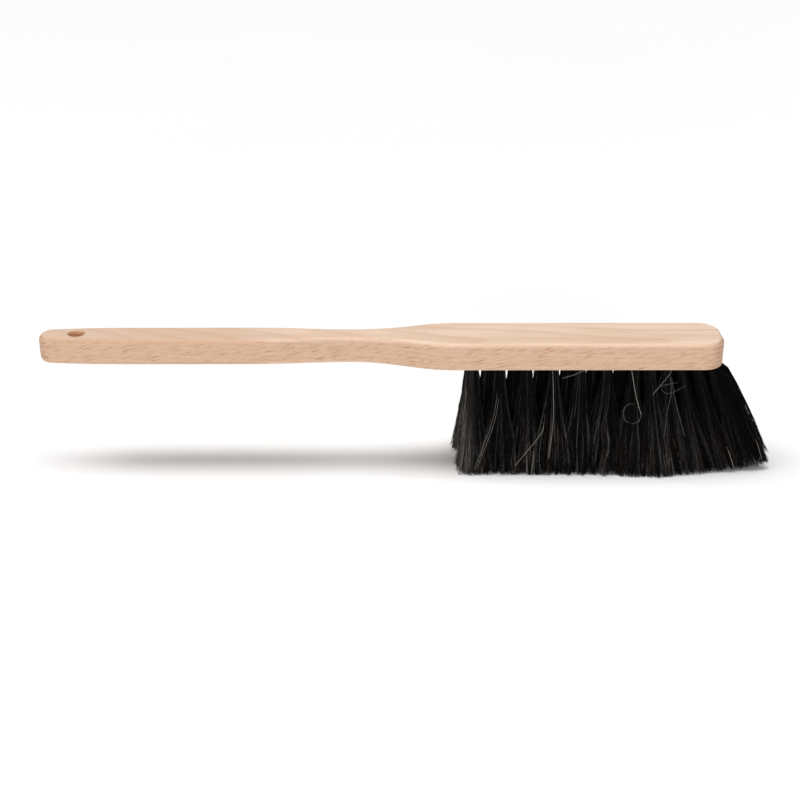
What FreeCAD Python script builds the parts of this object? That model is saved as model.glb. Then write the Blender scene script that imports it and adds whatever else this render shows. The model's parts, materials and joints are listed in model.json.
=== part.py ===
import FreeCAD, Part
import math
import os
import Sketcher

# Hand broom: a one-piece beech block, handle and head in one board, with tufts of horsehair
# folded over wire staples in blind holes under the head. The straight tufts are trimmed level,
# and those that splay towards the toe have hair of the same length, so their tips rise.
# Frame: +X from the handle end to the toe, +Z up, the trimmed tips stand on Z = 0.
# The origin lies under the middle of the whole broom. All lengths are millimetres.

SIZES = [
    # Beech block, in plan
    ("block_length", 440.0, "handle end to toe"),
    ("block_thick", 18.0, "thickness of the board"),
    ("head_width", 40.0, "width of the head"),
    ("head_length", 172.0, "straight sides of the head, back from the toe"),
    ("toe_corner", 14.0, "corner radius at the toe"),
    ("shoulder_radius", 74.0, "outer curve of the shoulder beside the head"),
    ("shoulder_length", 66.0, "narrowest point to the straight sides of the head"),
    ("neck_width", 18.0, "width at the narrowest point"),
    ("neck_length", 64.0, "end of the full grip width to the narrowest point"),
    ("grip_width", 24.5, "width of the grip"),
    ("grip_start", 55.0, "full grip width begins, from the handle end"),
    ("end_corner", 8.0, "corner radius at the handle end"),
    ("end_flat", 3.2, "straight stretch across the handle end"),
    # Beech block, edges
    ("top_round", 3.2, "round-over of the top edge"),
    ("grip_round", 4.4, "round-over under the handle"),
    ("head_round", 1.0, "eased edge under the head"),
    # Hanging hole
    ("hang_place", 24.0, "centre of the hanging hole, from the handle end"),
    ("hang_bore", 10.0, "diameter of the hanging hole"),
    ("hang_rim", 1.2, "round-over of its rims"),
    # Tuft field
    ("column_pitch", 17.2, "distance between upright tufts, along the head"),
    ("fan_pitch", 9.8, "distance between splayed tufts, along the head"),
    ("row_pitch", 13.0, "distance between rows, across the head"),
    ("row_shift", 10.2, "how far the middle row stands nearer the toe"),
    ("toe_margin", 8.3, "last tuft of the outer rows, back from the toe"),
    ("tuft_hole", 7.0, "diameter of a tuft hole"),
    ("tuft_depth", 12.0, "depth of a tuft hole"),
    ("root_gap", 0.15, "clearance of a folded bundle in its hole"),
    # Tufts
    ("tuft_length", 71.0, "hair below the block, down to the trim"),
    ("flare_radius", 12.0, "radius of a free tuft at the trim"),
    ("flare_bulge", 1.5, "how far the flare stands out from a straight taper"),
    ("fold_round", 2.6, "rounding of the fold at the root"),
    ("toe_lean", 23.0, "lean of the last tuft in a row, in degrees"),
    ("toe_reach", 33.0, "hair past the toe"),
    ("side_reach", 2.0, "hair past the sides of the head"),
    ("tuft_gap", 0.6, "clearance between neighbouring tufts"),
    # Staples
    ("wire", 0.7, "diameter of the staple wire"),
    ("staple_bend", 1.0, "bend radius of the wire's middle line"),
    ("staple_seat", 2.6, "middle of the crown, out from the bottom of the hole"),
    ("staple_bite", 3.4, "leg driven into the wood past the bottom of the hole"),
    ("leg_inset", 0.15, "leg clear of the wall of the hole"),
    ("wire_gap", 0.05, "clearance round the wire"),
    # Cuts
    ("overrun", 2.0, "how far cuts run past the material"),
]

UPRIGHT_COUNTS = [7, 6, 7]
SPLAYED_COUNTS = [5, 6, 5]
ROW_COUNT = len(UPRIGHT_COUNTS)
TINY = 1e-6

doc = FreeCAD.newDocument("hand_broom")


def fill_sheet():
    sheet = doc.addObject("Spreadsheet::Sheet", "Sizes")
    for line, (alias, value, note) in enumerate(SIZES, start=1):
        sheet.set(f"A{line}", alias)
        sheet.set(f"B{line}", str(value))
        sheet.set(f"C{line}", note)
        sheet.setAlias(f"B{line}", alias)
    doc.recompute()
    return sheet


sheet = fill_sheet()


def size(alias):
    return float(sheet.get(alias))


def worth(expression):
    return float(sheet.evalExpression(expression))


def bind(item, **expressions):
    for path, expression in expressions.items():
        item.setExpression(path.replace("__", "."), expression)


# Places along the block, from the handle end

HEAD_START = "(Sizes.block_length - Sizes.head_length)"
NECK_PLACE = f"({HEAD_START} - Sizes.shoulder_length)"
GRIP_END = f"({NECK_PLACE} - Sizes.neck_length)"

# Shared expressions, in the frame of the whole broom

HALF_LENGTH = "(Sizes.block_length + Sizes.toe_reach) / 2"
HALF_DEPTH = "(Sizes.head_width / 2 + Sizes.side_reach)"
ROOT_RADIUS = "(Sizes.tuft_hole / 2 - Sizes.root_gap)"
LEG_PLACE = "(Sizes.tuft_hole / 2 - Sizes.leg_inset - Sizes.wire / 2)"


def column_count(row):
    return UPRIGHT_COUNTS[row] + SPLAYED_COUNTS[row]


def row_start(row):
    """First tuft of a row. The outer rows are set out from the toe, and the middle row is staggered."""
    upright_steps, splayed_steps = UPRIGHT_COUNTS[0] - 1, SPLAYED_COUNTS[0]
    outer_length = f"({upright_steps} * Sizes.column_pitch + {splayed_steps} * Sizes.fan_pitch)"
    outer_start = f"(Sizes.block_length - Sizes.toe_margin - {outer_length} - {HALF_LENGTH})"
    return f"({outer_start} + Sizes.row_shift)" if row % 2 else outer_start


def column_place(row, column):
    upright_steps = min(column, UPRIGHT_COUNTS[row] - 1)
    splayed_steps = column - upright_steps
    return f"({row_start(row)} + {upright_steps} * Sizes.column_pitch + {splayed_steps} * Sizes.fan_pitch)"


def row_place(row):
    steps = row - (ROW_COUNT - 1) / 2
    return f"({steps} * Sizes.row_pitch)"


def lean(row, column):
    splayed_steps = max(0, column - UPRIGHT_COUNTS[row] + 1)
    return f"(Sizes.toe_lean * {splayed_steps} / {SPLAYED_COUNTS[row]})"


def set_at_tuft(item, row, column):
    """Puts an object's own origin at a tuft's mouth, with its Z axis up the leaning hole."""
    about_y = FreeCAD.Rotation(FreeCAD.Vector(0, 1, 0), size("toe_lean"))
    item.Placement = FreeCAD.Placement(FreeCAD.Vector(), about_y)
    bind(
        item,
        Placement__Base__x=column_place(row, column),
        Placement__Base__y=row_place(row),
        Placement__Base__z="Sizes.tuft_length",
        Placement__Rotation__Angle=f"-{lean(row, column)}",
    )


# Sketch helpers


def origin_plane(body, role):
    return next(plane for plane in body.Origin.OriginFeatures if plane.Role == role)


def new_sketch(body, name, role):
    sketch = body.newObject("Sketcher::SketchObject", name)
    sketch.AttachmentSupport = (origin_plane(body, role), [""])
    sketch.MapMode = "FlatFace"
    return sketch


def add_line(sketch, start, end):
    index = sketch.addGeometry(Part.LineSegment(start, end), False)
    return index, 1, 2


def add_arc(sketch, centre, start, end):
    """Adds the shorter arc between two points, and says which of its ends is which."""
    out, back = start - centre, end - centre
    from_angle, to_angle = math.atan2(out.y, out.x), math.atan2(back.y, back.x)
    turn = (to_angle - from_angle) % (2 * math.pi)
    circle = Part.Circle(centre, FreeCAD.Vector(0, 0, 1), out.Length)
    if turn < math.pi:
        arc = Part.ArcOfCircle(circle, from_angle, from_angle + turn)
        return sketch.addGeometry(arc, False), 1, 2
    arc = Part.ArcOfCircle(circle, to_angle, to_angle + 2 * math.pi - turn)
    return sketch.addGeometry(arc, False), 2, 1


def join(sketch, kind, first, second):
    """Joins the end of one piece of an outline to the start of the next."""
    sketch.addConstraint(Sketcher.Constraint(kind, first[0], first[2], second[0], second[1]))


def measure(sketch, kind, expression, *places):
    """Adds a driving dimension and binds it to the sheet."""
    index = sketch.addConstraint(Sketcher.Constraint(kind, *places, worth(expression)))
    sketch.setExpression(f"Constraints[{index}]", expression)


# Beech block


def two_arc_ease(start, end, end_radius):
    """Centres and meeting point of two arcs that ease from one level to another."""
    run, rise = end.x - start.x, end.y - start.y
    both_radii = (run * run + rise * rise) / (2 * abs(rise))
    up = math.copysign(1, rise)
    start_radius = both_radii - end_radius
    first = FreeCAD.Vector(start.x, start.y + up * start_radius)
    second = FreeCAD.Vector(end.x, end.y - up * end_radius)
    meeting = first + (second - first) * (start_radius / both_radii)
    return first, meeting, second


def draw_side(sketch, side, end_line, toe_line):
    """One long side of the plan outline, from the handle end to the toe."""
    length, half_end = size("block_length"), size("end_flat") / 2
    half_grip, half_neck = size("grip_width") / 2, size("neck_width") / 2
    half_head = size("head_width") / 2
    end_corner, toe_corner = size("end_corner"), size("toe_corner")
    grip_start = size("grip_start")

    def at(x, y):
        return FreeCAD.Vector(x, side * y)

    # The end of the handle swells from its corner to the full width of the grip.
    corner_centre = FreeCAD.Vector(end_corner, half_end)
    drop = half_grip - half_end
    reach = grip_start - end_corner
    swell_radius = (reach**2 + drop**2 - end_corner**2) / (2 * (drop - end_corner))
    swell_centre = FreeCAD.Vector(grip_start, half_grip - swell_radius)
    corner_end = swell_centre + (corner_centre - swell_centre).normalize() * swell_radius

    grip_stop = FreeCAD.Vector(worth(GRIP_END), half_grip)
    neck = FreeCAD.Vector(worth(NECK_PLACE), half_neck)
    head_start = FreeCAD.Vector(worth(HEAD_START), half_head)
    run, fall = neck.x - grip_stop.x, grip_stop.y - neck.y
    ease_radius = (run * run + fall * fall) / (4 * abs(fall))
    ease_centre, ease_end, hollow_centre = two_arc_ease(grip_stop, neck, ease_radius)
    throat_centre, throat_end, shoulder_centre = two_arc_ease(neck, head_start, size("shoulder_radius"))
    toe_centre = FreeCAD.Vector(length - toe_corner, half_head - toe_corner)

    def arc(centre, start, end):
        return add_arc(sketch, at(centre.x, centre.y), at(start.x, start.y), at(end.x, end.y))

    corner = arc(corner_centre, FreeCAD.Vector(0, half_end), corner_end)
    swell = arc(swell_centre, corner_end, FreeCAD.Vector(grip_start, half_grip))
    grip = add_line(sketch, at(grip_start, half_grip), at(grip_stop.x, half_grip))
    ease = arc(ease_centre, grip_stop, ease_end)
    hollow = arc(hollow_centre, ease_end, neck)
    throat = arc(throat_centre, neck, throat_end)
    shoulder = arc(shoulder_centre, throat_end, head_start)
    head = add_line(sketch, at(head_start.x, half_head), at(toe_centre.x, half_head))
    toe = arc(toe_centre, FreeCAD.Vector(toe_centre.x, half_head), FreeCAD.Vector(length, toe_centre.y))

    chain = [end_line, corner, swell, grip, ease, hollow, throat, shoulder, head, toe, toe_line]
    for first, second in zip(chain, chain[1:]):
        join(sketch, "Tangent", first, second)
    for level in (grip, head):
        sketch.addConstraint(Sketcher.Constraint("Horizontal", level[0]))
    sketch.addConstraint(Sketcher.Constraint("Equal", ease[0], hollow[0]))
    sketch.addConstraint(Sketcher.Constraint("Vertical", hollow[0], 3, hollow[0], hollow[2]))

    sign = "" if side > 0 else "-"
    measure(sketch, "Radius", "Sizes.end_corner", corner[0])
    measure(sketch, "Radius", "Sizes.toe_corner", toe[0])
    measure(sketch, "Radius", "Sizes.shoulder_radius", shoulder[0])
    measure(sketch, "DistanceY", f"{sign}Sizes.end_flat / 2", -1, 1, end_line[0], end_line[2])
    measure(sketch, "DistanceX", "Sizes.grip_start", -1, 1, grip[0], grip[1])
    measure(sketch, "DistanceX", GRIP_END, -1, 1, grip[0], grip[2])
    measure(sketch, "DistanceY", f"{sign}Sizes.grip_width / 2", -1, 1, grip[0], grip[1])
    measure(sketch, "DistanceX", NECK_PLACE, -1, 1, hollow[0], hollow[2])
    measure(sketch, "DistanceY", f"{sign}Sizes.neck_width / 2", -1, 1, hollow[0], hollow[2])
    measure(sketch, "DistanceX", HEAD_START, -1, 1, head[0], head[1])
    measure(sketch, "DistanceY", f"{sign}Sizes.head_width / 2", -1, 1, head[0], head[1])


def draw_plan(sketch):
    """The plan outline of the block, with the handle end on the sketch's own Y axis."""
    length, half_end = size("block_length"), size("end_flat") / 2
    half_toe = size("head_width") / 2 - size("toe_corner")
    end_line = add_line(sketch, FreeCAD.Vector(0, -half_end), FreeCAD.Vector(0, half_end))
    toe_line = add_line(sketch, FreeCAD.Vector(length, half_toe), FreeCAD.Vector(length, -half_toe))
    sketch.addConstraint(Sketcher.Constraint("Vertical", toe_line[0]))
    sketch.addConstraint(Sketcher.Constraint("Vertical", end_line[0]))
    sketch.addConstraint(Sketcher.Constraint("PointOnObject", end_line[0], 1, -2))
    measure(sketch, "DistanceX", "Sizes.block_length", -1, 1, toe_line[0], 1)
    draw_side(sketch, 1, end_line, toe_line)
    draw_side(sketch, -1, (end_line[0], 2, 1), (toe_line[0], 2, 1))


def edge_names(shape, edges):
    """Names of edges in a shape, such as Edge3."""
    return [
        f"Edge{index}"
        for index, edge in enumerate(shape.Edges, start=1)
        if any(edge.isSame(wanted) for wanted in edges)
    ]


def level_face(shape, height):
    """The largest flat face at a height."""
    faces = [
        face
        for face in shape.Faces
        if isinstance(face.Surface, Part.Plane) and abs(face.CenterOfMass.z - height) < TINY
    ]
    return max(faces, key=lambda face: face.Area)


def add_fillet(body, name, base, edges, radius):
    fillet = body.newObject("PartDesign::Fillet", name)
    fillet.Base = (base, edge_names(base.Shape, edges))
    fillet.setExpression("Radius", radius)
    doc.recompute()
    return fillet


def make_blank():
    """The shaped board: outline, rounded top edge and hanging hole."""
    body = doc.addObject("PartDesign::Body", "block_blank")
    bind(body, Placement__Base__x=f"-{HALF_LENGTH}", Placement__Base__z="Sizes.tuft_length")
    plan = new_sketch(body, "block_plan", "XY_Plane")
    draw_plan(plan)
    board = body.newObject("PartDesign::Pad", "board")
    board.Profile = plan
    board.setExpression("Length", "Sizes.block_thick")
    doc.recompute()

    top = level_face(board.Shape, size("block_thick"))
    rounded = add_fillet(body, "top_edge", board, top.Edges, "Sizes.top_round")

    ring = new_sketch(body, "hang_circle", "XY_Plane")
    centre = FreeCAD.Vector(size("hang_place"), 0)
    ring.addGeometry(Part.Circle(centre, FreeCAD.Vector(0, 0, 1), size("hang_bore") / 2), False)
    measure(ring, "Diameter", "Sizes.hang_bore", 0)
    measure(ring, "DistanceX", "Sizes.hang_place", -1, 1, 0, 3)
    ring.addConstraint(Sketcher.Constraint("PointOnObject", 0, 3, -1))
    hang = body.newObject("PartDesign::Pocket", "hang_hole")
    hang.Profile = ring
    hang.Type = "ThroughAll"
    hang.Reversed = True
    doc.recompute()
    removed = rounded.Shape.Volume - hang.Shape.Volume
    bore_volume = math.pi / 4 * size("hang_bore") ** 2 * size("block_thick")
    if abs(removed - bore_volume) > TINY * bore_volume:
        raise RuntimeError("the hanging hole doesn't go through the board")

    rims = [
        edge
        for edge in hang.Shape.Edges
        if isinstance(edge.Curve, Part.Circle) and edge.isClosed()
    ]
    add_fillet(body, "hang_rims", hang, rims, "Sizes.hang_rim")
    return body


def underside_round(x):
    """Round-over of the lower edge: full under the handle, fading to the eased edge of the head."""
    from_end = x + (size("block_length") + size("toe_reach")) / 2
    fade_start, fade_end = worth(NECK_PLACE), worth(HEAD_START)
    fade_share = min(1, max(0, (from_end - fade_start) / (fade_end - fade_start)))
    return size("grip_round") + (size("head_round") - size("grip_round")) * fade_share


def make_block(blank, drills, seats):
    """The board with its lower edge rounded, tuft holes drilled and staple legs let in."""
    bottom = level_face(blank.Shape, size("tuft_length"))
    rounded = doc.addObject("Part::Fillet", "block_rounded")
    rounded.Base = blank
    edges = []
    for index, edge in enumerate(blank.Shape.Edges, start=1):
        if any(edge.isSame(outer) for outer in bottom.OuterWire.Edges):
            start, end = edge.firstVertex(), edge.lastVertex()
            edges.append((index, underside_round(start.X), underside_round(end.X)))
    rounded.Edges = edges

    drilled = doc.addObject("Part::Cut", "block_drilled")
    drilled.Base = rounded
    drilled.Tool = group("tuft_holes", drills)
    block = doc.addObject("Part::Cut", "beech_block")
    block.Base = drilled
    block.Tool = group("leg_holes", seats)
    return block


# Masters of what repeats, each with its own origin at a tuft's mouth and +Z up its hole


def make_drill():
    """The space that one tuft hole takes."""
    body = doc.addObject("PartDesign::Body", "tuft_drill")
    circle = new_sketch(body, "drill_circle", "XY_Plane")
    circle.addGeometry(Part.Circle(FreeCAD.Vector(), FreeCAD.Vector(0, 0, 1), size("tuft_hole") / 2), False)
    circle.addConstraint(Sketcher.Constraint("Coincident", 0, 3, -1, 1))
    measure(circle, "Diameter", "Sizes.tuft_hole", 0)
    circle.setExpression("AttachmentOffset.Base.z", "-Sizes.overrun")
    pad = body.newObject("PartDesign::Pad", "drill_length")
    pad.Profile = circle
    pad.setExpression("Length", "Sizes.tuft_depth + Sizes.overrun")
    return body


def make_bundle():
    """One free tuft: a folded root that fills its hole, and hair that flares down to its trim."""
    root, flare, bulge = size("tuft_hole") / 2 - size("root_gap"), size("flare_radius"), size("flare_bulge")
    top, fold, length = size("tuft_depth") - size("root_gap"), size("fold_round"), size("tuft_length")
    body = doc.addObject("PartDesign::Body", "hair_bundle")
    sketch = new_sketch(body, "bundle_profile", "XZ_Plane")

    mouth, trim = FreeCAD.Vector(root, 0), FreeCAD.Vector(flare, -length)
    chord = trim - mouth
    outward = FreeCAD.Vector(-chord.y, chord.x).normalize()
    flare_arc_radius = chord.Length**2 / (8 * bulge) + bulge / 2
    flare_centre = mouth + chord / 2 + outward * (bulge - flare_arc_radius)

    crown = add_line(sketch, FreeCAD.Vector(0, top), FreeCAD.Vector(root - fold, top))
    shoulder = add_arc(
        sketch,
        FreeCAD.Vector(root - fold, top - fold),
        FreeCAD.Vector(root - fold, top),
        FreeCAD.Vector(root, top - fold),
    )
    wall = add_line(sketch, FreeCAD.Vector(root, top - fold), mouth)
    flared = add_arc(sketch, flare_centre, mouth, trim)
    foot = add_line(sketch, trim, FreeCAD.Vector(0, -length))
    axis = add_line(sketch, FreeCAD.Vector(0, -length), FreeCAD.Vector(0, top))

    outline = [crown, shoulder, wall, flared, foot, axis, crown]
    kinds = ["Tangent", "Tangent", "Coincident", "Coincident", "Coincident", "Coincident"]
    for kind, first, second in zip(kinds, outline, outline[1:]):
        join(sketch, kind, first, second)
    for level in (crown, foot):
        sketch.addConstraint(Sketcher.Constraint("Horizontal", level[0]))
    sketch.addConstraint(Sketcher.Constraint("Vertical", wall[0]))
    for end in (axis[1], axis[2]):
        sketch.addConstraint(Sketcher.Constraint("PointOnObject", axis[0], end, -2))
    measure(sketch, "DistanceY", "Sizes.tuft_depth - Sizes.root_gap", -1, 1, crown[0], crown[1])
    measure(sketch, "Radius", "Sizes.fold_round", shoulder[0])
    measure(sketch, "DistanceX", ROOT_RADIUS, -1, 1, flared[0], flared[1])
    sketch.addConstraint(Sketcher.Constraint("PointOnObject", flared[0], flared[1], -1))
    measure(sketch, "DistanceX", "Sizes.flare_radius", -1, 1, flared[0], flared[2])
    measure(sketch, "DistanceY", "-Sizes.tuft_length", -1, 1, flared[0], flared[2])
    chord_squared = f"((Sizes.flare_radius - {ROOT_RADIUS})^2 + Sizes.tuft_length^2)"
    arc_radius = f"{chord_squared} / (8 * Sizes.flare_bulge) + Sizes.flare_bulge / 2"
    measure(sketch, "Radius", arc_radius, flared[0])

    turned = body.newObject("PartDesign::Revolution", "bundle_round")
    turned.Profile = sketch
    turned.ReferenceAxis = (sketch, ["V_Axis"])
    turned.Angle = 360
    return body


def make_staple(name, wire, tip):
    """A wire staple: its crown lies across the hole inside the fold, its legs stand in the wood."""
    leg, bend = worth(LEG_PLACE), size("staple_bend")
    crown, end = size("tuft_depth") - size("staple_seat"), worth(tip)
    body = doc.addObject("PartDesign::Body", name)
    path = new_sketch(body, f"{name}_path", "YZ_Plane")

    def at(y, z):
        return FreeCAD.Vector(y, z)

    near_leg = add_line(path, at(-leg, end), at(-leg, crown + bend))
    near_bend = add_arc(path, at(bend - leg, crown + bend), at(-leg, crown + bend), at(bend - leg, crown))
    bar = add_line(path, at(bend - leg, crown), at(leg - bend, crown))
    far_bend = add_arc(path, at(leg - bend, crown + bend), at(leg - bend, crown), at(leg, crown + bend))
    far_leg = add_line(path, at(leg, crown + bend), at(leg, end))
    chain = [near_leg, near_bend, bar, far_bend, far_leg]
    for first, second in zip(chain, chain[1:]):
        join(path, "Tangent", first, second)
    path.addConstraint(Sketcher.Constraint("Horizontal", bar[0]))
    for upright in (near_leg, far_leg):
        path.addConstraint(Sketcher.Constraint("Vertical", upright[0]))
    for bent in (near_bend, far_bend):
        measure(path, "Radius", "Sizes.staple_bend", bent[0])
    measure(path, "DistanceY", "Sizes.tuft_depth - Sizes.staple_seat", -1, 1, bar[0], bar[1])
    measure(path, "DistanceX", f"-{LEG_PLACE}", -1, 1, near_leg[0], near_leg[1])
    measure(path, "DistanceX", LEG_PLACE, -1, 1, far_leg[0], far_leg[2])
    measure(path, "DistanceY", tip, -1, 1, near_leg[0], near_leg[1])
    measure(path, "DistanceY", tip, -1, 1, far_leg[0], far_leg[2])

    section = new_sketch(body, f"{name}_section", "XY_Plane")
    section.setExpression("AttachmentOffset.Base.z", tip)
    radius = worth(wire) / 2
    section.addGeometry(Part.Circle(FreeCAD.Vector(0, -leg), FreeCAD.Vector(0, 0, 1), radius), False)
    measure(section, "Diameter", wire, 0)
    measure(section, "DistanceY", f"-{LEG_PLACE}", -1, 1, 0, 3)
    section.addConstraint(Sketcher.Constraint("PointOnObject", 0, 3, -2))
    doc.recompute()
    bent_wire = body.newObject("PartDesign::AdditivePipe", f"{name}_wire")
    bent_wire.Profile = section
    bent_wire.Spine = (path, [f"Edge{index}" for index in range(1, len(chain) + 1)])
    return body


# The tuft field


def group(name, members):
    compound = doc.addObject("Part::Compound", name)
    compound.Links = members
    return compound


def repeat(master, name, row, column):
    """Another one of a master, set at its tuft."""
    copy = doc.addObject("App::Link", name)
    copy.LinkedObject = master
    set_at_tuft(copy, row, column)
    return copy


def column_limit(row, column, height):
    """Where a tuft ends towards the toe, at a height above the block's underside."""
    if column < 0:
        return f"({column_place(row, 0)} - Sizes.flare_radius - Sizes.overrun)"
    if column == column_count(row) - 1:
        return HALF_LENGTH
    middle = f"({column_place(row, column)} + {column_place(row, column + 1)}) / 2"
    slope = f"(tan({lean(row, column)}) + tan({lean(row, column + 1)})) / 2"
    return f"({middle} - ({height}) * {slope})"


def row_limit(row):
    """Where a row of tufts ends on its far side."""
    if row < 0:
        return f"-{HALF_DEPTH}"
    if row == ROW_COUNT - 1:
        return HALF_DEPTH
    return f"({row_place(row)} + {row_place(row + 1)}) / 2"


def gap_before(index):
    return "Sizes.tuft_gap / 2" if index > 0 else "0"


def gap_after(index, count):
    return "Sizes.tuft_gap / 2" if index < count - 1 else "0"


def make_cell(name, row, column):
    """The space that a tuft may fill among its neighbours, from the trim up to its root."""
    cell = doc.addObject("Part::Wedge", name)
    cell.Placement = FreeCAD.Placement(FreeCAD.Vector(), FreeCAD.Rotation(FreeCAD.Vector(1, 0, 0), 90))
    before, after = gap_before(column), gap_after(column, column_count(row))
    floor, root = "-Sizes.tuft_length", "Sizes.tuft_depth"
    near = f"({row_limit(row - 1)} + {gap_before(row)})"
    far = f"({row_limit(row)} - {gap_after(row, ROW_COUNT)})"
    bind(
        cell,
        Xmin=f"{column_limit(row, column - 1, floor)} + {before}",
        Xmax=f"{column_limit(row, column, floor)} - {after}",
        X2min=f"{column_limit(row, column - 1, root)} + {before}",
        X2max=f"{column_limit(row, column, root)} - {after}",
        Ymin="0",
        Ymax="Sizes.tuft_length + Sizes.tuft_depth",
        Zmin=f"-{far}",
        Zmax=f"-{near}",
        Z2min=f"-{far}",
        Z2max=f"-{near}",
    )
    return cell


def make_tuft(name, bundle, cell, seat):
    """A tuft as it stands among its neighbours, folded over its staple."""
    packed = doc.addObject("Part::Common", f"packed_{name}")
    packed.Base = bundle
    packed.Tool = cell
    tuft = doc.addObject("Part::Cut", name)
    tuft.Base = packed
    tuft.Tool = seat
    return tuft


def make_field(masters):
    """Every tuft with its hole and staple. Row 1 is nearest the viewer, column 1 nearest the handle."""
    drills, seats, tufts, staple_rows = [], [], [], []
    for row in range(ROW_COUNT):
        staples = []
        for column in range(column_count(row)):
            spot = f"row{row + 1}_{column + 1:02d}"
            drills.append(repeat(masters["drill"], f"hole_{spot}", row, column))
            seats.append(repeat(masters["seat"], f"seat_{spot}", row, column))
            staples.append(repeat(masters["staple"], f"staple_{spot}", row, column))
            bundle = repeat(masters["bundle"], f"bundle_{spot}", row, column)
            cell = make_cell(f"cell_{spot}", row, column)
            tufts.append(make_tuft(f"tuft_{spot}", bundle, cell, seats[-1]))
        staple_rows.append(group(f"staples_row{row + 1}", staples))
    return drills, seats, tufts, staple_rows


def check_document():
    for item in doc.Objects:
        if {"Invalid", "Error"} & set(item.State):
            raise RuntimeError(f"{item.Label} failed: {item.State}")


def write_nodes(nodes):
    os.makedirs("parts", exist_ok=True)
    for node in nodes:
        shape = node.Shape
        if shape.isNull() or not shape.isValid() or not shape.Solids:
            raise RuntimeError(f"{node.Label} has no sound solid")
    for node in nodes:
        node.Shape.exportStep(f"parts/{node.Label}.step")
        print(f"{node.Label}: {len(node.Shape.Solids)} solids, {node.Shape.Volume:.1f} mm3")


wire_space = "Sizes.wire + 2 * Sizes.wire_gap"
leg_tip = "Sizes.tuft_depth + Sizes.staple_bite"
masters = {
    "drill": make_drill(),
    "bundle": make_bundle(),
    "staple": make_staple("staple_form", "Sizes.wire", leg_tip),
    "seat": make_staple("staple_space", wire_space, f"{leg_tip} + Sizes.wire_gap"),
}
blank = make_blank()
doc.recompute()
drills, seats, tufts, staple_rows = make_field(masters)
block = make_block(blank, drills, seats)
doc.recompute()
check_document()
write_nodes([block] + tufts + staple_rows)
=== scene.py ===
import json
import math

import bpy
import numpy as np
from mathutils import Matrix, Vector


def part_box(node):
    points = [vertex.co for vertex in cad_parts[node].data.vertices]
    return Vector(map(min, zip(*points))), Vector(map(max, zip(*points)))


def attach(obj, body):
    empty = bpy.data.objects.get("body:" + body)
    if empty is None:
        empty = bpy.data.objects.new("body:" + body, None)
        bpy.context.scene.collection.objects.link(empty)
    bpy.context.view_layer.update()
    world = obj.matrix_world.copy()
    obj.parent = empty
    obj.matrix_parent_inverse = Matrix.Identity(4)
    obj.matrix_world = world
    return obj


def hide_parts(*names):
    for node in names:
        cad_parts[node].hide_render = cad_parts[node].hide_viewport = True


millimetre = 0.001
tiny = 1e-9  # keeps a division sound

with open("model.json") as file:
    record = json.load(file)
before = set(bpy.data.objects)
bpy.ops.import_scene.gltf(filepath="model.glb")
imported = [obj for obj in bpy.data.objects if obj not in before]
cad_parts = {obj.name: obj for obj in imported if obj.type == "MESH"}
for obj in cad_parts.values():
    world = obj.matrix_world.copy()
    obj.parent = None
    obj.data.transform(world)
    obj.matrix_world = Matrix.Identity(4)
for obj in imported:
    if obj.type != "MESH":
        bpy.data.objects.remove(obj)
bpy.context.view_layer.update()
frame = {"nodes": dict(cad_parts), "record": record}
bpy.ops.object.select_all(action="DESELECT")  # the loaded nodes come in selected
print("frame loaded:", len(frame["nodes"]), "nodes")


# material helpers

def startMaterial(name):
    material = bpy.data.materials.new(name)
    material.use_nodes = True
    material.node_tree.nodes.clear()
    return material, material.node_tree


def plug(tree, socket, value):
    if isinstance(value, bpy.types.NodeSocket):
        tree.links.new(value, socket)
    else:
        socket.default_value = value


def addNode(tree, kind, inputs=None, **settings):
    node = tree.nodes.new("ShaderNode" + kind)
    for setting, value in settings.items():
        setattr(node, setting, value)
    for socket, value in (inputs or {}).items():
        plug(tree, node.inputs[socket], value)
    return node


def addMath(tree, operation, first, second=0.0):
    return addNode(tree, "Math", {0: first, 1: second}, operation=operation).outputs[0]


def addSum(tree, first, *others):
    for other in others:
        first = addMath(tree, "ADD", first, other)
    return first


def addProduct(tree, first, *others):
    for other in others:
        first = addMath(tree, "MULTIPLY", first, other)
    return first


def addVector(tree, operation, first, second):
    return addNode(tree, "VectorMath", {0: first, 1: second}, operation=operation)


def addTint(tree, tone, mask, tint):  # paints a tint over a tone where the mask says
    sockets = {0: mask, 6: tone, 7: (*tint, 1.0)}
    return addNode(tree, "Mix", sockets, data_type="RGBA").outputs[2]


def addRange(tree, value, low, high, start=0.0, end=1.0):
    sockets = {"Value": value, "From Min": low, "From Max": high, "To Min": start, "To Max": end}
    return addNode(tree, "MapRange", sockets, interpolation_type="SMOOTHSTEP").outputs["Result"]


def addRamp(tree, value, stops):
    node = addNode(tree, "ValToRGB", {"Fac": value})
    while len(node.color_ramp.elements) < len(stops):
        node.color_ramp.elements.new(1.0)
    for element, (place, tone) in zip(node.color_ramp.elements, stops):
        element.position = place
        element.color = (*tone, 1.0)
    return node.outputs["Color"]


def addGrainSpace(tree, place, size, slant=0.0):  # one unit is one size, in metres
    sockets = {"Vector": place, "Rotation": (0.0, -math.radians(slant), 0.0), "Scale": size}
    return addNode(tree, "Mapping", sockets, vector_type="TEXTURE").outputs["Vector"]


def addNoise(tree, place, detail=2.0, roughness=0.5):
    sockets = {"Vector": place, "Scale": 1.0, "Detail": detail, "Roughness": roughness}
    return addNode(tree, "TexNoise", sockets).outputs["Fac"]


def addDashes(tree, place, edge, size, slant, share):  # short marks along the grain, in some cells
    space = addGrainSpace(tree, place, size, slant)
    cells = addNode(tree, "TexVoronoi", {"Vector": space, "Scale": 1.0})
    odds = addNode(tree, "SeparateColor", {0: cells.outputs["Color"]}).outputs[0]
    dash = addRange(tree, cells.outputs["Distance"], *edge)
    return addProduct(tree, dash, addRange(tree, odds, 1.0 - share, 1.0))


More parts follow.
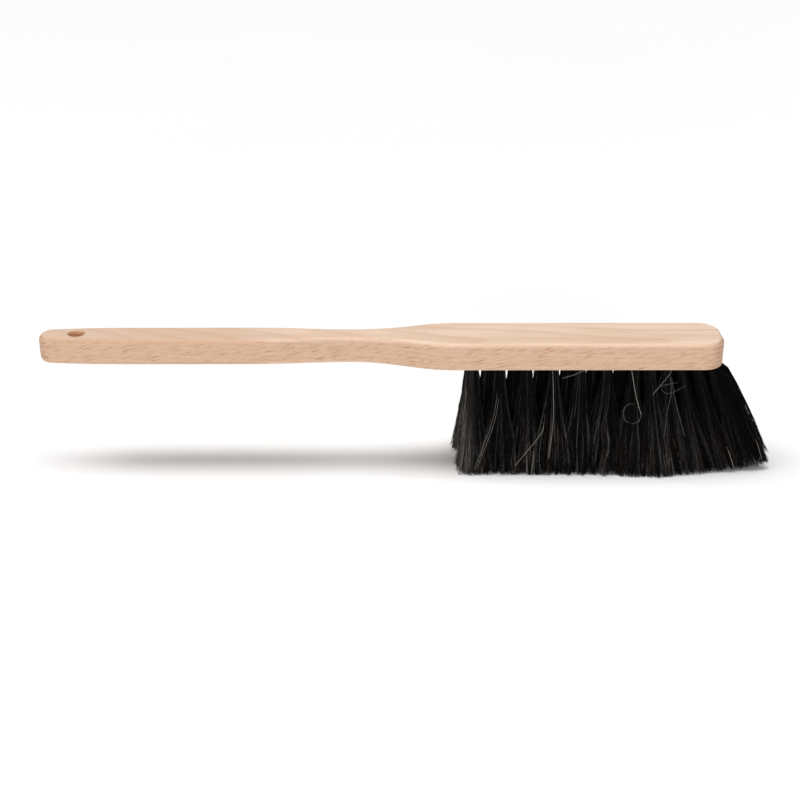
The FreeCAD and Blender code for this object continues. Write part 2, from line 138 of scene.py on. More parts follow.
def finishMaterial(tree, shader):
    output = addNode(tree, "OutputMaterial")
    tree.links.new(shader.outputs[0], output.inputs["Surface"])


# camera at the photograph's view

photoView = {
    "imageSide": 800.0,  # pixels
    "focalLength": 1370.0,  # pixels
    "sensor": 36.0,  # millimetres
    "elevation": 24.465,  # degrees
    "azimuth": -0.22,
    "roll": -0.15,
    "distance": 0.902245,
    "target": (-0.004045, 0.0, 0.041539),
    "clip": (0.01, 50.0),  # nearest and farthest that it sees
}


def addCamera(view):
    up, turn, roll = (math.radians(view[key]) for key in ("elevation", "azimuth", "roll"))
    ahead = Vector((math.cos(up) * math.sin(turn), math.cos(up) * math.cos(turn), -math.sin(up)))
    level = ahead.cross(Vector((0, 0, 1))).normalized()
    over = level.cross(ahead)
    right = level * math.cos(roll) + over * math.sin(roll)
    top = over * math.cos(roll) - level * math.sin(roll)
    bpy.ops.object.camera_add()
    camera = bpy.context.object
    camera.name = "photoCamera"
    camera.data.sensor_width = view["sensor"]
    camera.data.lens = view["focalLength"] * view["sensor"] / view["imageSide"]
    camera.data.clip_start, camera.data.clip_end = view["clip"]
    axes = Matrix((right, top, -ahead)).transposed().to_4x4()
    place = Vector(view["target"]) - ahead * view["distance"]
    camera.matrix_world = Matrix.Translation(place) @ axes
    bpy.context.scene.camera = camera


addCamera(photoView)
print("camera set")


# pale floor and soft studio light

studio = {
    "floorSide": 60.0,
    "floorTone": (0.885, 0.885, 0.885),
    "paperSize": (0.4, 0.4, 0.4),
    "paperMottle": (0.3, 0.7, 0.62, 0.7),  # noise from and to, and the roughness that it gives
    "paperSpecular": 0.1,
    "skyStrength": 0.25,
    "stripStrength": 3.0,  # a long strip light overhead, made as a row of lamps
    "stripTilts": (-12.0, 2.0, 15.0, 27.0, 38.0),  # degrees towards the handle's end
    "stripBack": 3.4,  # degrees towards the back
    "stripSpread": 25.0,  # degrees, each lamp
    "fillSize": (2.0, 0.7),
    "fillPlace": (0.0, -2.2, 0.42),
    "fillPower": 24.0,
}


def addFloor(look):
    bpy.ops.mesh.primitive_plane_add(size=look["floorSide"])
    floor = bpy.context.object
    floor.name = "paleFloor"
    material, tree = startMaterial("pale paper")
    place = addNode(tree, "TexCoord").outputs["Object"]
    mottle = addNoise(tree, addGrainSpace(tree, place, look["paperSize"]))
    shine = addRange(tree, mottle, *look["paperMottle"])
    paper = addNode(tree, "BsdfPrincipled", {"Base Color": (*look["floorTone"], 1.0), "Roughness": shine})
    paper.inputs["Specular IOR Level"].default_value = look["paperSpecular"]
    finishMaterial(tree, paper)
    floor.data.materials.append(material)


def addLights(look):
    world = bpy.data.worlds.new("soft studio")
    bpy.context.scene.world = world
    world.use_nodes = True
    sky = world.node_tree.nodes["Background"]
    sky.inputs["Color"].default_value = (1.0, 1.0, 1.0, 1.0)
    sky.inputs["Strength"].default_value = look["skyStrength"]

    for tilt in look["stripTilts"]:
        turn = (-math.radians(look["stripBack"]), -math.radians(tilt), 0.0)
        bpy.ops.object.light_add(type="SUN", rotation=turn)
        lamp = bpy.context.object
        lamp.name = "stripLamp"
        lamp.data.energy = look["stripStrength"] / len(look["stripTilts"])
        lamp.data.angle = math.radians(look["stripSpread"])

    bpy.ops.object.light_add(type="AREA", location=look["fillPlace"])
    fill = bpy.context.object
    fill.name = "frontFill"
    fill.data.shape = "RECTANGLE"
    fill.data.size, fill.data.size_y = look["fillSize"]
    fill.data.energy = look["fillPower"]
    fill.rotation_mode = "QUATERNION"
    fill.rotation_quaternion = (-fill.location).to_track_quat("-Z", "Y")
    bpy.context.scene.view_settings.view_transform = "Standard"


addFloor(studio)
addLights(studio)
print("floor and lights set")


# beech, for the block: a flat-sawn board with its grain along X

beech = {
    "topTone": (0.785, 0.6, 0.465),
    "gripTone": (0.69, 0.5, 0.375),
    # painted shade for the rounded edges, strongest on the grip
    "paintedEdgeShadeTone": (0.5, 0.3, 0.18),
    "gripFade": (-0.07, -0.12),  # the grip's top is darker from here to here
    "sideTone": (0.635, 0.425, 0.295),
    "endTone": (0.4, 0.23, 0.14),
    "boreTone": (0.88, 0.56, 0.37),
    "blushTone": (0.64, 0.435, 0.315),
    "ringTone": (0.53, 0.33, 0.21),
    "fleckTone": (0.36, 0.145, 0.058),
    "sideTurn": (0.9, 0.08),  # how level a face is where the side's tone begins, and where it is full
    "edgeTurns": ((0.995, 0.9), (0.15, 0.5)),  # the same for a rounded edge, from top and side
    "paintedEdgeShadeStrength": (0.08, 0.7),  # painted shade on the rounded edges, so that they don't look lit: its strength on the head and on the grip
    "endTurn": (0.12, 0.7),  # how far a face looks along the board where end grain begins, and is full
    "ringWidth": 0.0031,
    "lateWood": ((0.45, 0.94), (1.0, 0.95)),  # the dark part of a ring, from its inside and its outside
    "ringStrength": 0.28,
    "ringSlopes": (0.055, 0.2, 1.0),  # how the rings lie along X, Y and Z
    "ringBows": (-0.13, 6.5, 0.0),  # and how they curve, per metre
    "wander": 0.0036,  # how far a ring strays
    "wanderSize": (0.11, 0.03, 0.02),
    "fibreSize": (0.03, 0.0004, 0.0004),
    "grainSize": (0.02, 0.001, 0.001),
    "streakSize": (0.16, 0.0022, 0.0022),
    "blushSize": (0.09, 0.02, 0.015),
    "fibreShow": (0.42, 0.75, 0.0, 0.3),  # noise from and to, and the strength that it gives
    "streakShow": (0.48, 0.72, 0.0, 0.22),
    "blushShow": (0.35, 0.7, 0.0, 0.5),
    "endShow": (0.45, 0.9, 0.22, 0.85),
    "grainShow": (0.45, 0.75),
    "grainStrength": (0.15, 0.5),  # on the top and on the sides
    "driftSize": 0.02,  # flecks lie a little out of line
    "drift": (0.003, 0.003, 0.002),
    "flecks": ((0.014, 0.0026, 0.0006), 17.0, 1.0),  # cell, slant in degrees, share of the cells
    "fineFlecks": ((0.008, 0.0016, 0.0004), 14.0, 1.0),
    "pores": ((0.0036, 0.00062, 0.004), 0.0, 0.9),
    "dashEdge": (0.4, 0.12),  # where a fleck or pore fades out in its cell, and where it is full
    "fleckStrength": 1.0,
    "fineFleckStrength": 0.75,
    "poreStrength": 0.28,
    "boreRim": (1.04, 1.01),  # fresh wood in the hanging hole begins here, in radii
    "boreStrength": 0.8,
    "shineShow": (0.3, 0.75),
    "roughness": (0.5, 0.64),
    "specular": 0.3,
    "fibreHeight": 0.35,
    "bumpHeight": 0.00008,
    "bumpStrength": 0.4,
}


def makeBeech(look, bore):
    material, tree = startMaterial("oiled beech")
    coords = addNode(tree, "TexCoord")
    place = coords.outputs["Object"]
    faces = addNode(tree, "SeparateXYZ", {0: coords.outputs["Normal"]}).outputs
    upright = addMath(tree, "ABSOLUTE", faces["Z"])
    sides = addRange(tree, upright, *look["sideTurn"])
    edges = addProduct(tree, *(addRange(tree, upright, *turn) for turn in look["edgeTurns"]))
    ends = addRange(tree, addMath(tree, "ABSOLUTE", faces["X"]), *look["endTurn"])

    # growth rings
    stray = addNoise(tree, addGrainSpace(tree, place, look["wanderSize"]), detail=3.0)
    stray = addProduct(tree, addMath(tree, "SUBTRACT", stray, 0.5), look["wander"])
    squares = addVector(tree, "MULTIPLY", place, place).outputs["Vector"]
    slope = addVector(tree, "DOT_PRODUCT", place, look["ringSlopes"]).outputs["Value"]
    bow = addVector(tree, "DOT_PRODUCT", squares, look["ringBows"]).outputs["Value"]
    depth = addSum(tree, slope, bow, stray)
    year = addMath(tree, "FRACT", addMath(tree, "DIVIDE", depth, look["ringWidth"]))
    late = addProduct(tree, *(addRange(tree, year, *part) for part in look["lateWood"]))

    # long fibres, streaks, blush, ray flecks and pores
    sockets = {"Vector": place, "Scale": 1.0 / look["driftSize"]}
    shift = addNode(tree, "TexNoise", sockets).outputs["Color"]
    shift = addVector(tree, "MULTIPLY", shift, look["drift"]).outputs["Vector"]
    drifted = addVector(tree, "ADD", place, shift).outputs["Vector"]
    fibre = addNoise(tree, addGrainSpace(tree, place, look["fibreSize"]), detail=3.0, roughness=0.6)
    grain = addNoise(tree, addGrainSpace(tree, drifted, look["grainSize"], look["flecks"][1] / 2))
    streak = addNoise(tree, addGrainSpace(tree, place, look["streakSize"]), detail=2.0)
    blush = addNoise(tree, addGrainSpace(tree, place, look["blushSize"]))
    edge = look["dashEdge"]
    level = addRange(tree, sides, 1.0, 0.0)
    fleck = addProduct(tree, addDashes(tree, drifted, edge, *look["flecks"]), sides)
    fineFleck = addProduct(tree, addDashes(tree, drifted, edge, *look["fineFlecks"]), sides)
    pore = addProduct(tree, addDashes(tree, place, edge, *look["pores"]), level)

    # tones, one over the other
    along = addNode(tree, "SeparateXYZ", {0: place}).outputs["X"]
    grip = addRange(tree, along, *look["gripFade"])
    # painted shade over the rounded edges, mostly on the grip, where they would otherwise look lit
    paintedEdgeShade = addProduct(tree, edges, addRange(tree, grip, 0.0, 1.0, *look["paintedEdgeShadeStrength"]))
    grained = addRange(tree, sides, 0.0, 1.0, *look["grainStrength"])
    grained = addProduct(tree, addRange(tree, grain, *look["grainShow"]), grained)
    endGrain = addProduct(tree, ends, addRange(tree, year, *look["endShow"]))
    tone = addTint(tree, (*look["topTone"], 1.0), grip, look["gripTone"])
    tone = addTint(tree, tone, sides, look["sideTone"])
    tone = addTint(tree, tone, paintedEdgeShade, look["paintedEdgeShadeTone"])
    tone = addTint(tree, tone, addRange(tree, blush, *look["blushShow"]), look["blushTone"])
    tone = addTint(tree, tone, addProduct(tree, late, look["ringStrength"]), look["ringTone"])
    tone = addTint(tree, tone, addRange(tree, streak, *look["streakShow"]), look["ringTone"])
    tone = addTint(tree, tone, addRange(tree, fibre, *look["fibreShow"]), look["ringTone"])
    tone = addTint(tree, tone, grained, look["ringTone"])
    tone = addTint(tree, tone, endGrain, look["endTone"])
    tone = addTint(tree, tone, addProduct(tree, pore, look["poreStrength"]), look["fleckTone"])
    tone = addTint(tree, tone, addProduct(tree, fineFleck, look["fineFleckStrength"]), look["fleckTone"])
    tone = addTint(tree, tone, addProduct(tree, fleck, look["fleckStrength"]), look["fleckTone"])

    # freshly drilled wood inside the hanging hole
    offset = addVector(tree, "SUBTRACT", place, bore["pos_m"]).outputs["Vector"]
    offset = addVector(tree, "MULTIPLY", offset, (1.0, 1.0, 0.0)).outputs["Vector"]
    reach = addNode(tree, "VectorMath", {0: offset}, operation="LENGTH").outputs["Value"]
    wall = bore["dims"]["r_mm"] * millimetre
    drilled = addProduct(tree, addRange(tree, reach, *(wall * rim for rim in look["boreRim"])), sides)
    tone = addTint(tree, tone, addProduct(tree, drilled, look["boreStrength"]), look["boreTone"])

    dents = addSum(tree, fleck, fineFleck, pore)
    height = addMath(tree, "SUBTRACT", addProduct(tree, fibre, look["fibreHeight"]), dents)
    sockets = {"Height": height, "Strength": look["bumpStrength"], "Distance": look["bumpHeight"]}
    bump = addNode(tree, "Bump", sockets)
    shine = addRange(tree, fibre, *look["shineShow"], *look["roughness"])
    sockets = {"Base Color": tone, "Roughness": shine, "Normal": bump.outputs[0]}
    wood = addNode(tree, "BsdfPrincipled", sockets)
    wood.inputs["Specular IOR Level"].default_value = look["specular"]
    finishMaterial(tree, wood)
    return material


# drawn wire, for the staples

stapleWire = {
    "tone": (0.56, 0.55, 0.53),
    "brightTone": (0.65, 0.64, 0.61),
    "drawnSize": (0.0002, 0.0002, 0.004),
    "linesShow": (0.3, 0.7),  # noise from and to
    "roughness": (0.26, 0.46),
    "bumpHeight": 0.00002,
    "bumpStrength": 0.3,
}


def makeStapleWire(look):
    material, tree = startMaterial("drawn steel wire")
    place = addNode(tree, "TexCoord").outputs["Object"]
    lines = addNoise(tree, addGrainSpace(tree, place, look["drawnSize"]), detail=3.0)
    bright = addRange(tree, lines, *look["linesShow"])
    tone = addTint(tree, (*look["tone"], 1.0), bright, look["brightTone"])
    shine = addRange(tree, lines, *look["linesShow"], *look["roughness"])
    sockets = {"Height": lines, "Strength": look["bumpStrength"], "Distance": look["bumpHeight"]}
    bump = addNode(tree, "Bump", sockets)
    sockets = {"Base Color": tone, "Roughness": shine, "Normal": bump.outputs[0]}
    steel = addNode(tree, "BsdfPrincipled", sockets)
    steel.inputs["Metallic"].default_value = 1.0
    finishMaterial(tree, steel)
    return material


def dressNode(name, material):
    mesh = frame["nodes"][name].data
    mesh.materials.clear()
    mesh.materials.append(material)


hangHole = next(mount for mount in frame["record"]["mounts"] if mount["kind"] == "bore")
dressNode("beech_block", makeBeech(beech, hangHole))
wireFinish = makeStapleWire(stapleWire)
for name in frame["nodes"]:
    if name.startswith("staples"):
        dressNode(name, wireFinish)
print("beech and wire finished")


# black horsehair

horsehair = {
    "tones": [  # from the darkest strand to the palest
        (0.0, (0.0012, 0.0012, 0.0012)),
        (0.45, (0.003, 0.0029, 0.0028)),
        (0.68, (0.013, 0.0122, 0.0115)),
        (0.85, (0.082, 0.077, 0.072)),
        (0.95, (0.25, 0.232, 0.215)),
        (1.0, (0.5, 0.46, 0.41)),
    ],
    "rustTone": (0.03, 0.011, 0.006),  # some strands are a little brown
    "rustShare": 0.14,
    "rustTurns": 53.0,  # how often brown comes round along the tones
    "rustStrength": 0.7,
    "paleStart": 0.94,  # loose hairs, paler than this, keep their tone all the way up, free of the painted shade
    "paleBlend": 0.02,
    # dark tone for the random mottle and for the painted shade under the block
    "mottleAndShadeTone": (0.002, 0.002, 0.002),
    "mottleSize": (0.001, 0.001, 0.006),
    "mottleShow": (0.35, 0.75, 0.0, 0.4),  # noise from and to, and the strength that it gives
    "paintedShadeUnderBlock": (0.012, 0.055, 0.0, 0.74),  # painted shade under the block: heights from and to, and the shade that they give, none near the tips and most up by the block
    "shineShow": (0.3, 0.7),
    "roughness": (0.36, 0.52),
    "specular": 0.06,
}


def makeHorsehair(look):
    material, tree = startMaterial("black horsehair")
    tone = addNode(tree, "Attribute", attribute_name="strandTone").outputs["Fac"]
    place = addNode(tree, "TexCoord").outputs["Object"]
    mottle = addNoise(tree, addGrainSpace(tree, place, look["mottleSize"]))
    height = addNode(tree, "SeparateXYZ", {0: place}).outputs["Z"]
    dark = addRange(tree, tone, look["paleStart"] + look["paleBlend"], look["paleStart"])
    turn = addMath(tree, "FRACT", addProduct(tree, tone, look["rustTurns"]))
    rust = addRange(tree, turn, 1.0 - look["rustShare"], 1.0, 0.0, look["rustStrength"])
    rust = addProduct(tree, rust, dark)
    mottled = addProduct(tree, addRange(tree, mottle, *look["mottleShow"]), dark)
    # painted shade, darker up under the block and clear down towards the tips
    paintedShade = addProduct(tree, addRange(tree, height, *look["paintedShadeUnderBlock"]), dark)
    colour = addRamp(tree, tone, look["tones"])
    colour = addTint(tree, colour, rust, look["rustTone"])
    colour = addTint(tree, colour, mottled, look["mottleAndShadeTone"])
    colour = addTint(tree, colour, paintedShade, look["mottleAndShadeTone"])
    shine = addRange(tree, mottle, *look["shineShow"], *look["roughness"])
    hair = addNode(tree, "BsdfPrincipled", {"Base Color": colour, "Roughness": shine})
    hair.inputs["Specular IOR Level"].default_value = look["specular"]
    finishMaterial(tree, hair)
    return material


# tufts: bundles of strands that leave a hole, flare and meet their neighbours

tuftField = {
    "upright": (7, 6, 7),  # straight tufts in each row, from the viewer's side
    "splayed": (5, 6, 5),  # tufts after them that lean towards the toe
    "columnPitch": 0.0172,  # between straight tufts
    "fanPitch": 0.0098,  # between leaning tufts
    "rowPitch": 0.013,
    "rowShift": 0.0102,  # the middle row stands nearer the toe
    "toeMargin": 0.0083,  # last tuft of the outer rows, back from the toe
    "toeLean": 23.0,  # degrees, last tuft of a row
    "toeRise": 0.36,  # how far the trim follows that lean
    "rootRadius": 0.0032,
    "rootDepth": 0.007,  # hair begins this far up its hole
    "flareEnd": 0.05,  # where a tuft has spread to its neighbours
    "flareBend": 0.4,  # how much of that spread comes late
    "mingle": 1.12,  # how far neighbours share a border
    "heelReach": 0.0098,  # spread of a free side at the foot, and how late it comes
    "heelBend": 1.4,
    "nearHeel": 0.9,  # the near row's first tuft spreads less
    "toeReach": 0.0146,
    "toeBend": 0.4,
    "sideReach": 0.0122,
    "sideBend": 0.8,
    "toeRound": 0.5,  # how much less the last tufts spread to the sides
    "square": 0.9,  # how far a round bundle fills the corners between its neighbours
    "squareRate": 1.5,  # and how soon
    "rim": 0.55,  # how much hair gathers at the free sides of the foot
    "bulge": 0.0042,  # the near row stands out to the front, here along the head
    "bulgePlace": 0.161,
    "bulgeWidth": 0.024,
}

strand = {
    "sides": 3,
    "segments": 10,
    "count": 800,  # in a tuft
    "rootThick": 0.00013,  # radius
    "tipThick": 0.00012,
    "sideways": (0.31, 0.95, 0.05),  # a way that no strand runs
    "endStrip": 0.1,  # share of a strand's map for its two ends
    "mapMargin": 0.05,
    "clumps": 190,  # locks of a few strands that lie together
    "clumpRounds": 5,  # how often they are evened out
    "clumpStart": 0.2,  # share of the length where they begin to draw in
    "clumpPull": (0.3, 0.9),
    "clumpSpread": 1.05,  # keeps a tuft's outline where its clumps draw in
    "clumpDrift": (0.0024, 0.0012),  # along and across
    "drift": (0.0008, 0.0005),
    "driftBend": 1.4,  # how late it comes
    "tuftDrift": 0.0004,
    "wave": (0.0007, 0.0006),
    "waveBend": 0.7,
    "waveTop": 3,  # a clump's largest wave, in usual ones
    "waveBeats": (0.8, 2.6),
    "waveLag": 0.5,  # how far strands of a clump wave out of step
    "trim": 0.0002,
    "clumpTrim": 0.0016,
    "trimBend": 3,  # few clumps are cut much shorter
    "clumpTone": 0.65,  # how far a clump shares its tone
    "shortShare": 0.05,
    "shortBy": 0.012,
    "strayShare": 0.1,
    "strayDrift": (0.006, 0.001),
    "toneTop": 0.935,  # palest strand of a tuft, apart from loose hairs
    "toeDark": 0.34,  # leaning tufts are darker
    "heelPaleAndHighlight": 0.88,  # and the free edge at the heel is paler, partly paler strands and partly a painted highlight
    "heelEdge": 0.6,  # from here back, in radii of the hole
    "looseLift": 0.0003,
    "looseStart": 0.85,  # a loose hair leaves its tuft here, on the way to its first place
    "seed": 71,
}

looseHairs = [  # tuft of the near row, tone, then millimetres along and down from its mouth
    (1, 0.95, (-5, 11), (-5, 27), (-6, 45)),
    (1, 0.95, (-4, 15), (-6, 29), (-7, 48)),
    (2, 0.95, (-2, 17), (-5, 35), (-16, 67)),
    (2, 0.95, (-1, 20), (-4, 37), (-14, 65)),
    (3, 0.96, (1, 59), (1, 70)),
    (3, 0.96, (5, 56), (4, 70)),
    (4, 0.97, (-1, 1), (0, 21), (0, 37), (-2, 59)),
    (4, 0.97, (-6, 38), (-10, 46), (-24, 64)),
    (5, 0.96, (2, 1), (-5, 4), (-12, 6)),
    (7, 1.0, (-2, 2), (1, 17), (5, 30)),
    (7, 0.95, (5, 29), (3, 35), (-4, 35), (-7, 28), (-4, 23), (0, 23)),
    (8, 0.95, (-2, 60), (-3, 71)),
    (8, 0.95, (15, 58), (13, 71)),
    (9, 0.96, (3, 3), (-8, 17)),
    (9, 0.95, (-3, 11), (2, 10), (8, 9)),
    (9, 0.95, (-2, 14), (3, 16), (13, 11)),
    (9, 0.95, (3, 6), (4, 17), (2, 29), (1, 48)),
    (9, 0.95, (4, 7), (7, 21), (14, 44)),
    (11, 0.99, (24, 55), (29, 68)),
    (12, 0.97, (33, 51), (37, 62)),
]


def modelStrand(look):
    bpy.ops.mesh.primitive_cylinder_add(vertices=look["sides"], radius=1, depth=1, end_fill_type="NGON")
    hair = bpy.context.object
    bpy.ops.object.mode_set(mode="EDIT")
    bpy.ops.mesh.select_mode(type="EDGE")
    bpy.ops.mesh.select_all(action="DESELECT")
    bpy.ops.object.mode_set(mode="OBJECT")
    points = hair.data.vertices
    for edge in hair.data.edges:  # the long edges
        first, second = (points[index].co.z for index in edge.vertices)
        edge.select = abs(first - second) > 0.5
    bpy.ops.object.mode_set(mode="EDIT")
    bpy.ops.mesh.subdivide(number_cuts=look["segments"] - 1)
    bpy.ops.object.mode_set(mode="OBJECT")
    rounds = np.array([tuple(point.co) for point in points])
    layout = np.array([tuple(corner.uv) for corner in hair.data.uv_layers.active.data])
    height = layout[:, 1]  # the sides lie in the upper half, the ends in the lower one
    sideHeight = 1.0 - 2 * (1.0 - look["endStrip"]) * (1.0 - height)
    layout[:, 1] = np.where(height > 0.5, sideHeight, 2 * look["endStrip"] * height)
    form = {
        "rounds": rounds[:, :2],
        "ring": np.rint((0.5 - rounds[:, 2]) * look["segments"]).astype(int),  # 0 at the root
        "faces": [tuple(face.vertices) for face in hair.data.polygons],
        "layout": layout,
    }
    bpy.data.objects.remove(hair)
    return form


def eased(value):
    held = np.clip(value, 0.0, 1.0)
    return held * held * (3.0 - 2.0 * held)


def lastRow(field):
    return len(field["upright"]) - 1


def lastColumn(row, field):
    return field["upright"][row] + field["splayed"][row] - 1


def atHeel(row, column, field):
    return column == 0 and row in (0, lastRow(field))


def tuftPlace(row, column, field, block):
    upright, splayed = field["upright"], field["splayed"]
    outerLength = (upright[0] - 1) * field["columnPitch"] + splayed[0] * field["fanPitch"]
    start = block[1].x - field["toeMargin"] - outerLength + row % 2 * field["rowShift"]
    straight = min(column, upright[row] - 1)
    fanned = column - straight
    along = start + straight * field["columnPitch"] + fanned * field["fanPitch"]
    across = (row - lastRow(field) / 2) * field["rowPitch"]
    return along, across, math.radians(field["toeLean"] * fanned / splayed[row])


def tuftReach(row, column, out, field, block):  # how far the hair spreads to each side, this far out
    root = field["rootRadius"]
    along, _, lean = tuftPlace(row, column, field, block)
    flare = np.clip(out / field["flareEnd"], 0.0, 1.0)
    flare = flare * (1.0 - field["flareBend"] + field["flareBend"] * flare)

    def pressed(halfGap):
        return root + (halfGap * field["mingle"] - root) * flare

    def free(side):
        return root + field[side + "Reach"] * (out / block[0].z) ** field[side + "Bend"]

    def toNeighbour(other):
        place, _, otherLean = tuftPlace(row, other, field, block)
        return pressed(abs(place - along + out * (math.sin(otherLean) - math.sin(lean))) / 2)

    heel = root + (free("heel") - root) * (field["nearHeel"] if row == 0 else 1.0)
    handle = heel if atHeel(row, column, field) else toNeighbour(column - 1)
    toe = free("toe") if column == lastColumn(row, field) else toNeighbour(column + 1)
    splay = math.sin(lean) / math.sin(math.radians(field["toeLean"]))
    side = root + (free("side") - root) * (1.0 - field["toeRound"] * splay**2)
    near = side if row == 0 else pressed(field["rowPitch"] / 2)
    far = side if row == lastRow(field) else pressed(field["rowPitch"] / 2)
    return handle, toe, near, far


def discPoints(count, rng):
    radius, turn = np.sqrt(rng.random(count)), rng.random(count) * 2 * math.pi
    return np.stack((radius * np.cos(turn), radius * np.sin(turn)), axis=1)


def gatherClumps(roots, look, rng):  # even clumps, and the one that each strand joins
    clumps = discPoints(look["clumps"], rng)
    for _ in range(look["clumpRounds"]):
        member = np.argmin(((roots[:, None] - clumps[None]) ** 2).sum(axis=2), axis=1)
        for index in np.unique(member):
            clumps[index] = roots[member == index].mean(axis=0)
    return clumps, member


def strandTraits(member, look, rng):  # what sets each strand of a tuft apart
    count, clumpCount = look["count"], look["clumps"]
    pull = rng.uniform(*look["clumpPull"], clumpCount)[member]
    drift = rng.normal(0, look["tuftDrift"], 2)
    drift = drift + rng.normal(0, 1, (clumpCount, 2))[member] * look["clumpDrift"]
    drift = drift + rng.normal(0, 1, (count, 2)) * look["drift"]
    stray = rng.random(count) < look["strayShare"]
    drift[stray] += rng.uniform(-1, 1, (int(stray.sum()), 2)) * look["strayDrift"]
    trim = np.abs(rng.normal(0, look["trim"], count))
    trim += (look["clumpTrim"] * rng.random(clumpCount) ** look["trimBend"])[member]
    short = rng.random(count) < look["shortShare"]
    trim[short] += rng.random(int(short.sum())) * look["shortBy"]
    phase = (rng.random((clumpCount, 2)) * 2 * math.pi)[member]
    phase = phase + rng.normal(0, look["waveLag"], (count, 2))
    beat = rng.uniform(*look["waveBeats"], (clumpCount, 2))[member]
    swing = rng.exponential(1, (clumpCount, 2)).clip(0, look["waveTop"])[member] * look["wave"]
    tone = rng.random(count) * (1.0 - look["clumpTone"])
    tone = tone + look["clumpTone"] * rng.random(clumpCount)[member]
    return pull, drift, trim, (phase, beat, swing), tone


def bundleSpots(row, column, roots, centres, pull, share, field, look):
    # strands draw together in clumps, and a round bundle turns square among its neighbours
    gather = pull[:, None] * eased((share - look["clumpStart"]) / (1.0 - look["clumpStart"]))
    spot = roots[:, None] + gather[..., None] * (look["clumpSpread"] * centres - roots)[:, None]
    corner = np.sqrt((spot**2).sum(axis=2)) / (np.abs(spot).max(axis=2) + tiny)
    atToe = column == lastColumn(row, field)
    freeEnd = np.where(spot[..., 0] < 0, atHeel(row, column, field), atToe)
    fill = field["square"] * eased(share * field["squareRate"]) * ~freeEnd
    spot = spot * (corner**fill)[..., None]

    # hair gathers at the free sides
    freeSide = np.where(spot[..., 1] < 0, row == 0, row == lastRow(field))
    rim = field["rim"] * np.stack((np.sqrt(share) * freeEnd, share * freeSide), axis=2)
    return spot * (np.abs(spot) + tiny) ** -rim, np.stack((freeEnd, freeSide), axis=2)


def shadeStrands(tone, roots, lean, heel, look):
    tone = np.argsort(np.argsort(tone)) / len(tone) * (1.0 - look["toeDark"] * math.sin(lean))
    if heel:
        # paler strands at the heel's free edge, partly a painted highlight
        tone = tone ** (1.0 - look["heelPaleAndHighlight"] * np.clip(look["heelEdge"] - roots[:, 0], 0, 1))
    return tone * look["toneTop"]


def tuftPaths(row, column, field, look, block, rng):
    hairLength = block[0].z
    along, across, lean = tuftPlace(row, column, field, block)
    roots = discPoints(look["count"], rng)
    clumps, member = gatherClumps(roots, look, rng)
    pull, drift, trim, (phase, beat, swing), tone = strandTraits(member, look, rng)

    # one step inside the hole, then down to the trim
    down = np.linspace(0, 1, look["segments"]) * (hairLength - trim[:, None])
    down = np.concatenate((np.full((len(trim), 1), -field["rootDepth"]), down), axis=1)
    out = np.clip(down, 0, None)
    share = out / hairLength
    spot, free = bundleSpots(row, column, roots, clumps[member], pull, share, field, look)
    wander = drift[:, None] * (share ** look["driftBend"])[..., None]
    inwards = -np.sign(spot) * np.abs(wander)  # strands at a free side keep to their tuft
    wander = np.where(free, inwards, wander)
    wave = swing[:, None] * np.sin(phase[:, None] + 2 * math.pi * beat[:, None] * share[..., None])
    loose = wander + wave * (share ** look["waveBend"])[..., None]
    handle, toe, near, far = tuftReach(row, column, out, field, block)
    level = spot[..., 0] * np.where(spot[..., 0] < 0, handle, toe) + loose[..., 0]
    y = across + spot[..., 1] * np.where(spot[..., 1] < 0, near, far) + loose[..., 1]

    # the tuft leans with its hole, and its tips rise a little towards the toe
    x = along + down * math.sin(lean) + level * math.cos(lean)
    rise = field["toeRise"] * (down * (1.0 - math.cos(lean)) + level * math.sin(lean))
    if row == 0:
        aside = (x - field["bulgePlace"]) / field["bulgeWidth"]
        y = y - field["bulge"] * share**2 * np.exp(-(aside**2))
    tones = shadeStrands(tone, roots, lean, atHeel(row, column, field), look)
    return np.stack((x, y, hairLength - down + rise), axis=2), tones


def smoothPath(knots, segments):  # a curve through the knots, in even steps
    place = np.linspace(0, len(knots) - 1, segments + 1)
    left = np.clip(place.astype(int), 0, len(knots) - 2)
    slopes = np.gradient(knots, axis=0)
    part = (place - left)[:, None]
    blend = eased(part)
    curve = knots[left] * (1.0 - blend) + knots[left + 1] * blend
    curve = curve + part * (1.0 - part) ** 2 * slopes[left]
    return curve - part**2 * (1.0 - part) * slopes[left + 1]


def loosePath(places, column, field, look, block):  # from the hole, then over the front of the hair
    along, across, _ = tuftPlace(0, column, field, block)
    hidden = tuple(look["looseStart"] * value for value in places[0])  # still inside its tuft here
    knots = np.array([(0.0, 0.0), hidden, *places]) * millimetre
    front = across - tuftReach(0, column, knots[:, 1], field, block)[2] - look["looseLift"]
    front[:2] = across
    path = np.stack((along + knots[:, 0], front, block[0].z - knots[:, 1]), axis=1)
    return smoothPath(path, look["segments"])


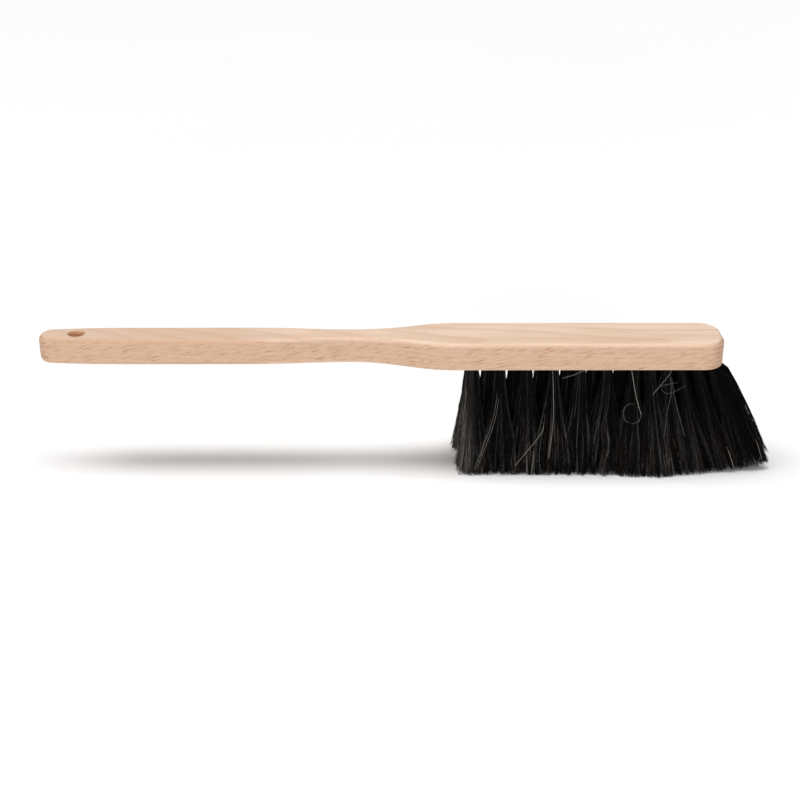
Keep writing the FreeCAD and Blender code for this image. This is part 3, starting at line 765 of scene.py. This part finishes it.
def strandMap(count, look, form):  # each strand has a cell of the map to itself
    cells = math.ceil(math.sqrt(count))
    places = np.stack(np.divmod(np.arange(count), cells), axis=1)[:, None]
    inside = look["mapMargin"] + (1.0 - 2 * look["mapMargin"]) * form["layout"]
    return (places + inside) / cells


def growStrands(name, paths, tones, look, form):
    count, ring, size = len(paths), form["ring"], len(form["ring"])
    tangent = np.gradient(paths, axis=1)
    tangent /= np.linalg.norm(tangent, axis=2, keepdims=True)
    first = np.cross(tangent, look["sideways"])
    first /= np.linalg.norm(first, axis=2, keepdims=True)
    second = np.cross(first, tangent)
    thick = np.linspace(look["rootThick"], look["tipThick"], look["segments"] + 1)[ring]
    wide = form["rounds"][None, :, :1] * first[:, ring] + form["rounds"][None, :, 1:] * second[:, ring]
    points = paths[:, ring] + thick[None, :, None] * wide
    points[..., 2] = np.clip(points[..., 2], 0.0, None)  # nothing under the floor
    starts = range(0, count * size, size)
    faces = [tuple(start + corner for corner in face) for start in starts for face in form["faces"]]
    mesh = bpy.data.meshes.new(name)
    mesh.from_pydata(points.reshape(-1, 3).tolist(), [], faces)
    shades = mesh.attributes.new("strandTone", "FLOAT", "POINT")
    shades.data.foreach_set("value", np.repeat(tones, size).astype(np.float32))
    layer = mesh.uv_layers.new(name="OFBake")
    layer.data.foreach_set("uv", strandMap(count, look, form).astype(np.float32).ravel())
    mesh.shade_smooth()
    piece = bpy.data.objects.new(name, mesh)
    bpy.context.collection.objects.link(piece)
    return piece


hairFinish = makeHorsehair(horsehair)
strandForm = modelStrand(strand)
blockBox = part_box("beech_block")
for row, (straight, leaning) in enumerate(zip(tuftField["upright"], tuftField["splayed"])):
    for column in range(straight + leaning):
        spot = f"row{row + 1}_{column + 1:02d}"
        rng = np.random.default_rng((strand["seed"], row, column))
        paths, tones = tuftPaths(row, column, tuftField, strand, blockBox, rng)
        for tuft, tone, *places in looseHairs:
            if (row, column) == (0, tuft - 1):
                path = loosePath(places, column, tuftField, strand, blockBox)
                paths = np.concatenate((paths, path[None]))
                tones = np.append(tones, tone)
        piece = growStrands(f"hair_{spot}", paths, tones, strand, strandForm)
        piece.data.materials.append(hairFinish)
        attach(piece, "root")
        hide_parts(f"tuft_{spot}")
print("tufts grown")
